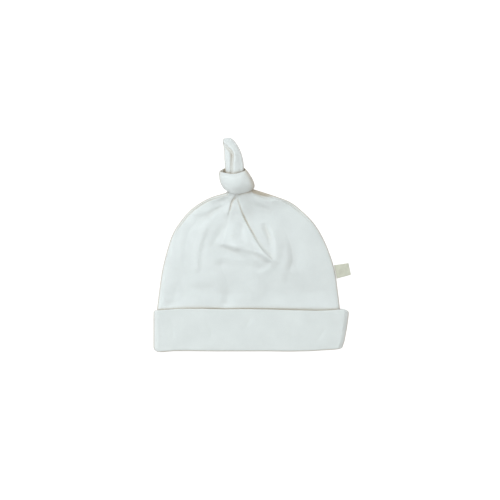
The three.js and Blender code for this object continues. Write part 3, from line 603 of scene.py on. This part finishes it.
def make_cuff():
    across, on_front, _ = places_around(CUFF_FRONT, CUFF_BACK, 0.6)
    section = cuff_section()
    inset, height = section[:, :1], section[:, 1:]
    down = CUFF_HEIGHT - height
    up = np.clip(height / CUFF_HEIGHT, 0, 1)
    left = (CUFF_LEFT - ZERO_X) * PIXEL + inset
    left = left + corner(height, CORNERS["left_foot"]) + corner(down, CORNERS["left_top"])
    right = (np.interp(up, *np.transpose(CUFF_RIGHT)) - ZERO_X) * PIXEL - inset
    right = right - corner(height, CORNERS["right_foot"]) - corner(down, CORNERS["right_top"])
    x = mix(left, right, (across[None, :] + 1) / 2)
    distance = np.minimum(x - left, right - x)
    pixel_x = x / PIXEL + ZERO_X
    top = (ZERO_Y - np.interp(pixel_x, *np.transpose(CUFF_TOP))) * PIXEL
    foot = (ZERO_Y - np.interp(pixel_x, *np.transpose(CUFF_FOOT))) * PIXEL
    y = height + (top - CUFF_HEIGHT) * up + foot * (1 - ease(up, 0, 0.25))

    rolled = quarter(distance, CUFF_ROLL - inset)
    loft = (CUFF_LOFT - 2 * CUFF_ROLL) * arch(distance)
    soft = fold_height(x, y, CUFF_FOLDS) + rumples(x, y, "cuff")
    soft += SIDE_RIDGE * bell(distance - SIDE_RIDGE_IN, SIDE_RIDGE_WIDTH)
    soft -= STITCH * bell(down - STITCH_DOWN, STITCH_WIDTH)
    soft = soft * ease(distance, 0, 3.0) * (inset < 1.0)
    z = np.where(on_front[None, :], CUFF_ROLL + rolled + loft + soft, CUFF_ROLL - rolled)
    points = np.stack([x, y, z], axis=-1).reshape(-1, 3)
    faces = ring_faces(len(section), len(across), True)
    # Painted shade along the cuff's side edges and its folded foot.
    painted_shade_distance = np.minimum(distance, height).ravel()
    return build("cuff_jersey", points, faces, points[:, :2].copy(), painted_shade_distance)


# Knot and tail


def make_knot():
    """One closed wrap: its outside from the lower to the upper rim, and back down within."""
    low_round, high_round, cloth_to_a_turn = 0.85, 0.6, 2 * np.pi * 13
    low, wide, high = (round_loop(from_photo(WRAP[name]), KNOT_ROUND) for name in ("low", "wide", "high"))
    turn = np.arange(KNOT_ROUND) / KNOT_ROUND * 2 * np.pi
    inside = from_photo([WRAP_CENTRE])[0] + np.stack(
        [WRAP_INSIDE[0] * np.cos(turn), 0 * turn, WRAP_INSIDE[1] * np.sin(turn)], axis=1
    )
    v = (1 - np.cos(np.linspace(0, np.pi, KNOT_OUTSIDE)))[:, None, None] / 2
    w = (1 - np.cos(np.linspace(0, np.pi, KNOT_INSIDE + 2)[1:-1]))[:, None, None] / 2
    middle = (low + high) / 2
    outside = low + (high - low) * v + (wide - middle) * (4 * v * (1 - v)) ** mix(low_round, high_round, v)
    within = high + (low - high) * w + (inside - middle) * (4 * w * (1 - w)) ** high_round
    shown = np.clip(np.sin(turn) * 1.6 + 0.5, 0, 1)[None, :] * ease(v[..., 0], 0, 0.1)
    x, y = outside[..., 0], outside[..., 1]
    outside[..., 2] += (fold_height(x, y, KNOT_FOLDS) + rumples(x, y, "knot")) * shown

    points = np.concatenate([outside, within])
    rows = len(points)
    lengths = np.linalg.norm(np.diff(points, axis=0), axis=-1).mean(axis=1)
    along = np.concatenate([[0], np.cumsum(lengths)])
    around = turn / (2 * np.pi) * cloth_to_a_turn
    uv = np.stack(np.broadcast_arrays(around[None, :], along[:, None]), axis=-1)
    # Painted shade on the knot's right side, away from the light, and a little on its left edge.
    painted_side_shade = 0.95 * ease(np.cos(turn), 0.5, 1.0) + 0.7 * ease(-np.cos(turn), 0.86, 1.0)
    painted_shade_distance = np.tile(PAINTED_SHADE_WIDTH * (1 - painted_side_shade), rows)
    faces = ring_faces(rows, KNOT_ROUND, True)
    return build("knot_jersey", points.reshape(-1, 3), faces, uv.reshape(-1, 2), painted_shade_distance)


def make_tail():
    tail_length, cloth_to_a_turn = 34, 2 * np.pi * 6.5
    at = np.linspace(0, 1, TAIL_ROWS)[:, None]
    turn = np.linspace(0, 2 * np.pi, TAIL_ROUND, endpoint=False)[None, :]
    get = {name: column(TAIL, name, at) for name in TAIL}
    left = from_photo(np.stack([get["left_x"], get["left_y"], get["middle"]], axis=-1))
    right = from_photo(np.stack([get["right_x"], get["right_y"], get["middle"]], axis=-1))
    points = (left + right) / 2 + (right - left) / 2 * np.cos(turn)[..., None]
    points[..., 2] += get["thick"] * np.sign(np.sin(turn)) * np.abs(np.sin(turn)) ** 0.8
    x, y = points[..., 0], points[..., 1]
    shown = np.clip(np.sin(turn) * 3, 0, 1) * ease(at, 0.02, 0.1) * (1 - ease(at, 0.97, 1))
    points[..., 2] += (fold_height(x, y, TAIL_FOLDS) + rumples(x, y, "tail")) * shown

    uv = np.stack(np.broadcast_arrays(turn / (2 * np.pi) * cloth_to_a_turn, at * tail_length), axis=-1)
    faces = ring_faces(TAIL_ROWS, TAIL_ROUND, False)
    flat, uv, faces = with_caps(points.reshape(-1, 3), uv.reshape(-1, 2), faces, TAIL_ROUND)
    # Painted shade towards the tail's left and right sides and at its tips.
    half_width = np.linalg.norm(right - left, axis=-1) / 2
    from_edge, at_tips = 0.35, [0.6, 0.6]
    painted_shade_distance = np.append(((1 - np.abs(np.cos(turn))) * half_width + from_edge).ravel(), at_tips)
    return build("tail_jersey", flat, faces, uv, painted_shade_distance)


# Label


def folded_tape(length, ply, opening):
    """The section of a tape that is folded at its free end: its outside, then its inside back again."""
    half = ply + opening / 2
    straight = length - half
    steps = np.linspace(0, straight, LABEL_RUN)
    bend = np.linspace(-np.pi / 2, np.pi / 2, LABEL_BEND)
    section = []
    for r, turned in ((half, 1), (half - ply, -1)):
        section += [(x, -r * turned) for x in steps[:-1]]
        section += [(straight + r * math.cos(a), r * math.sin(a)) for a in bend[::turned]]
        section += [(x, r * turned) for x in steps[::-1][1:]]
    return np.array(section), straight


def make_label():
    section, straight = folded_tape(LABEL_LENGTH, LABEL_PLY, LABEL_OPENING)
    t = np.linspace(0, 0.6, 600)
    t = t[[np.argmin(np.abs(column(LEVELS, "right_rise", t) - LABEL_RISE))]]
    out = -inward(t, 2)[0]
    start = np.array([*(crown_level(t)[2][0] + out * GAP), CROWN_ROLL])
    droop = math.radians(LABEL_DROOP)
    along = np.array([out[0] * math.cos(droop), out[1] * math.cos(droop), -math.sin(droop)])
    across = np.array([-out[1], out[0], 0.0])
    up = np.cross(along, across)
    places = np.linspace(-LABEL_WIDTH / 2, LABEL_WIDTH / 2, LABEL_ACROSS)
    run = section[:, :1]
    rows = []
    for place in places:
        curl = LABEL_CURL * np.sin(run / straight * np.pi * 0.9) * (place / LABEL_WIDTH)
        widened = mix(*LABEL_TAPER, run / LABEL_LENGTH)
        rows.append(start + along * run + up * (section[:, 1:] + curl) + across * (place * widened))

    count = len(section)
    faces = []
    for row in range(len(rows) - 1):
        a, b = row * count, (row + 1) * count
        faces += [(a + i, a + (i + 1) % count, b + (i + 1) % count, b + i) for i in range(count)]
    for row, turned in ((0, False), (len(rows) - 1, True)):
        a = row * count
        for i in range(count // 2 - 1):
            quad = (a + i, a + count - 1 - i, a + count - 2 - i, a + i + 1)
            faces.append(quad[::-1] if turned else quad)
    distance = np.concatenate([[0], np.cumsum(np.linalg.norm(np.diff(section, axis=0), axis=1))])
    uv = np.stack(np.broadcast_arrays(places[:, None], distance[None, :]), axis=-1)
    return build("label_tape", np.reshape(rows, (-1, 3)), faces, uv.reshape(-1, 2))


# Materials


def node(tree, kind, values, **settings):
    """A node with its settings, and its inputs linked to sockets or given values."""
    made = tree.nodes.new(kind)
    for key, value in settings.items():
        setattr(made, key, value)
    for key, value in values.items():
        socket = made.inputs[key]
        if isinstance(value, bpy.types.NodeSocket):
            tree.links.new(value, socket)
        else:
            socket.default_value = value
    return made


def math_node(tree, operation, *values):
    return node(tree, "ShaderNodeMath", dict(enumerate(values)), operation=operation).outputs[0]


def noise(tree, place, scale, detail, roughness=0.5):
    """Soft random values over the cloth, from 0 to 1."""
    values = {"Vector": place, "Scale": scale, "Detail": detail, "Roughness": roughness}
    return node(tree, "ShaderNodeTexNoise", values).outputs["Fac"]


def ramp(tree, value, low, high, start, end):
    """Start where the value is low or less, end where it is high or more, and even between them."""
    values = {"Value": value, "From Min": low, "From Max": high, "To Min": start, "To Max": end}
    return node(tree, "ShaderNodeMapRange", values).outputs[0]


def uv_place(tree, name):
    """A UV layer as a vector, and its x and y."""
    place = node(tree, "ShaderNodeUVMap", {}, uv_map=name).outputs[0]
    parts = node(tree, "ShaderNodeSeparateXYZ", {0: place})
    return place, parts.outputs[0], parts.outputs[1]


def saw(tree, value):
    """Falls from a half to nothing and rises again over each whole step of the value."""
    return math_node(tree, "ABSOLUTE", math_node(tree, "SUBTRACT", math_node(tree, "FRACT", value), 0.5))


def shaded(tree, colour, shade, shader):
    """Gives the shader that colour times the shade."""
    tint = node(tree, "ShaderNodeVectorMath", {0: colour, "Scale": shade}, operation="SCALE")
    tree.links.new(tint.outputs[0], shader.inputs["Base Color"])


def jersey(name, base):
    """Cotton jersey: rows of small V-shaped loops, soft fuzz, and painted shade: a warm dark colour deep
    in its creases and where the painted-shade distance is small.
    """
    wale, course, mottle = 0.8 * MM, 0.62 * MM, 0.1
    material = bpy.data.materials.new(name)
    material.use_nodes = True
    tree = material.node_tree
    shader = tree.nodes["Principled BSDF"]
    shader.inputs["Roughness"].default_value = 0.92
    shader.inputs["Sheen Weight"].default_value = 0.22
    shader.inputs["Sheen Roughness"].default_value = 0.45
    shader.inputs["Specular IOR Level"].default_value = 0.18

    place, x, y = uv_place(tree, "cloth")
    u, v = math_node(tree, "DIVIDE", x, wale), math_node(tree, "DIVIDE", y, course)
    wobble = math_node(tree, "MULTIPLY", noise(tree, place, 900.0, 1.0), 0.35)
    half = saw(tree, math_node(tree, "ADD", u, wobble))
    leg = saw(tree, math_node(tree, "ADD", v, math_node(tree, "MULTIPLY", half, 1.6)))
    ribs = math_node(tree, "SINE", math_node(tree, "MULTIPLY", half, 2 * math.pi))
    loops = math_node(tree, "MULTIPLY", ribs, math_node(tree, "ADD", leg, 0.45))
    fuzz = noise(tree, place, 2600.0, 3.0, 0.7)
    soft = noise(tree, place, 55.0, 4.0, 0.6)

    height = math_node(tree, "ADD", loops, math_node(tree, "MULTIPLY", fuzz, 0.6))
    knit = node(tree, "ShaderNodeBump", {"Strength": 0.55, "Distance": 0.22 * MM, "Height": height})
    soft_bump = {"Strength": 0.35, "Distance": 1.2 * MM, "Height": soft, "Normal": knit.outputs[0]}
    tree.links.new(node(tree, "ShaderNodeBump", soft_bump).outputs[0], shader.inputs["Normal"])

    shade = ramp(tree, loops, 0.0, 0.95, 1.0 - mottle, 1.0)
    blotch = ramp(tree, soft, 0.3, 0.7, 1.0 - 0.6 * mottle, 1.0)
    # Painted shade: the warm dark colour is mixed in deep in the creases, found by ambient occlusion, and
    # where the painted-shade distance is small.
    deep = node(tree, "ShaderNodeAmbientOcclusion", {"Distance": 3.5 * MM}, samples=8).outputs["AO"]
    painted_crease_shade = ramp(tree, deep, 0.35, 0.95, 1.0, 0.0)
    painted_edge_shade = ramp(tree, uv_place(tree, "painted_shade_distance")[1], 0.0, PAINTED_SHADE_WIDTH * MM, PAINTED_SHADE_MOST, 0.0)
    painted_shade = math_node(tree, "MAXIMUM", painted_crease_shade, painted_edge_shade)
    cloth = node(tree, "ShaderNodeMix", {"Factor": painted_shade, 6: (*base, 1), 7: (*PAINTED_SHADE_COLOUR, 1)}, data_type="RGBA")
    shaded(tree, cloth.outputs[2], math_node(tree, "MULTIPLY", shade, blotch), shader)
    return material


def woven(name, base):
    """A plain woven tape with fine cross threads."""
    warp, weft = 0.32 * MM, 0.26 * MM
    material = bpy.data.materials.new(name)
    material.use_nodes = True
    tree = material.node_tree
    shader = tree.nodes["Principled BSDF"]
    shader.inputs["Roughness"].default_value = 0.8
    shader.inputs["Sheen Weight"].default_value = 0.1
    shader.inputs["Specular IOR Level"].default_value = 0.25

    place, x, y = uv_place(tree, "cloth")
    over = math_node(tree, "SINE", math_node(tree, "MULTIPLY", x, 2 * math.pi / warp))
    under = math_node(tree, "SINE", math_node(tree, "MULTIPLY", y, 2 * math.pi / weft))
    weave = math_node(tree, "MULTIPLY", over, under)
    bump = node(tree, "ShaderNodeBump", {"Strength": 0.5, "Distance": 0.12 * MM, "Height": weave})
    tree.links.new(bump.outputs[0], shader.inputs["Normal"])
    shade = ramp(tree, weave, -1.0, 1.0, 0.86, 1.0)
    blotch = ramp(tree, noise(tree, place, 260.0, 3.0), 0.3, 0.7, 0.92, 1.04)
    colour = node(tree, "ShaderNodeRGB", {})
    colour.outputs[0].default_value = (*base, 1)
    shaded(tree, colour.outputs[0], math_node(tree, "MULTIPLY", shade, blotch), shader)
    return material


# Pieces

crown_cloth = jersey("crown_cotton", (0.75, 0.76, 0.745))
cuff_cloth = jersey("cuff_cotton", (0.745, 0.755, 0.737))
tape = woven("label_weave", (0.665, 0.645, 0.535))

crown = make_crown()
cuff = make_cuff()
knot = make_knot()
tail = make_tail()
label = make_label()

for piece, cloth, cad, slot in (
    (crown, crown_cloth, "crown", "crown_jersey"),
    (cuff, cuff_cloth, "cuff", "cuff_jersey"),
    (knot, crown_cloth, "knot", "crown_jersey"),
    (tail, crown_cloth, "tail", "crown_jersey"),
    (label, tape, "label", "label_tape"),
):
    piece.data.materials.append(cloth)
    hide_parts(cad)

# Floor, which shines as white as the photograph's ground

FLOOR_HALF, FLOOR_DOWN = 4, 0.2 * MM
floor_mesh = bpy.data.meshes.new("floor")
floor_corners = [(x * FLOOR_HALF, y * FLOOR_HALF, 0) for x, y in ((-1, -1), (1, -1), (1, 1), (-1, 1))]
floor_mesh.from_pydata(floor_corners, [], [(0, 1, 2, 3)])
floor = bpy.data.objects.new("floor", floor_mesh)
bpy.context.scene.collection.objects.link(floor)
floor.location.z = -FLOOR_DOWN
ground = bpy.data.materials.new("ground")
ground.use_nodes = True
ground_shader = ground.node_tree.nodes["Principled BSDF"]
ground_shader.inputs["Base Color"].default_value = (0.12, 0.12, 0.12, 1)
ground_shader.inputs["Roughness"].default_value = 1.0
ground_shader.inputs["Specular IOR Level"].default_value = 0.0
ground_shader.inputs["Emission Color"].default_value = (1, 1, 1, 1)
ground_shader.inputs["Emission Strength"].default_value = 1.0
floor_mesh.materials.append(ground)

# Lights


def area_light(name, place, size, power, colour):
    """A round light that shines at the frame's origin."""
    data = bpy.data.lights.new(name, "AREA")
    data.shape = "DISK"
    data.size = size
    data.energy = power
    data.color = colour
    light = bpy.data.objects.new(name, data)
    bpy.context.scene.collection.objects.link(light)
    x, y, z = place
    light.location = place
    light.rotation_euler = (math.atan2(math.hypot(x, y), z), 0, math.atan2(-y, -x) - math.pi / 2)


area_light("key", (-2.4, 2.4, 3.15), 5.5, 181.0, (0.9, 1.0, 1.05))
area_light("top", (0.35, -0.3, 1.6), 1.6, 9.0, (0.91, 1.0, 1.04))
world = bpy.data.worlds.new("studio")
world.use_nodes = True
world.node_tree.nodes["Background"].inputs["Color"].default_value = (0.98, 1.0, 0.97, 1)
world.node_tree.nodes["Background"].inputs["Strength"].default_value = 0.5
bpy.context.scene.world = world

# Camera, straight above, with the cap at the photograph's place and size

CAMERA_HEIGHT, TRUE_SCALE_AT, SENSOR = 1.3, 0.008, 36
centre = from_photo([PHOTO_WIDTH / 2, PHOTO_WIDTH / 2, 0]) + SHIFT
camera_data = bpy.data.cameras.new("camera")
camera_data.sensor_fit = "HORIZONTAL"
camera_data.sensor_width = SENSOR
camera_data.lens = SENSOR * (CAMERA_HEIGHT - TRUE_SCALE_AT) / (PHOTO_WIDTH * PIXEL * MM)
camera = bpy.data.objects.new("camera", camera_data)
bpy.context.scene.collection.objects.link(camera)
camera.location = (centre[0] * MM, centre[1] * MM, CAMERA_HEIGHT)
camera.rotation_euler = (0, 0, 0)
bpy.context.scene.camera = camera
bpy.context.scene.view_settings.view_transform = "Standard"
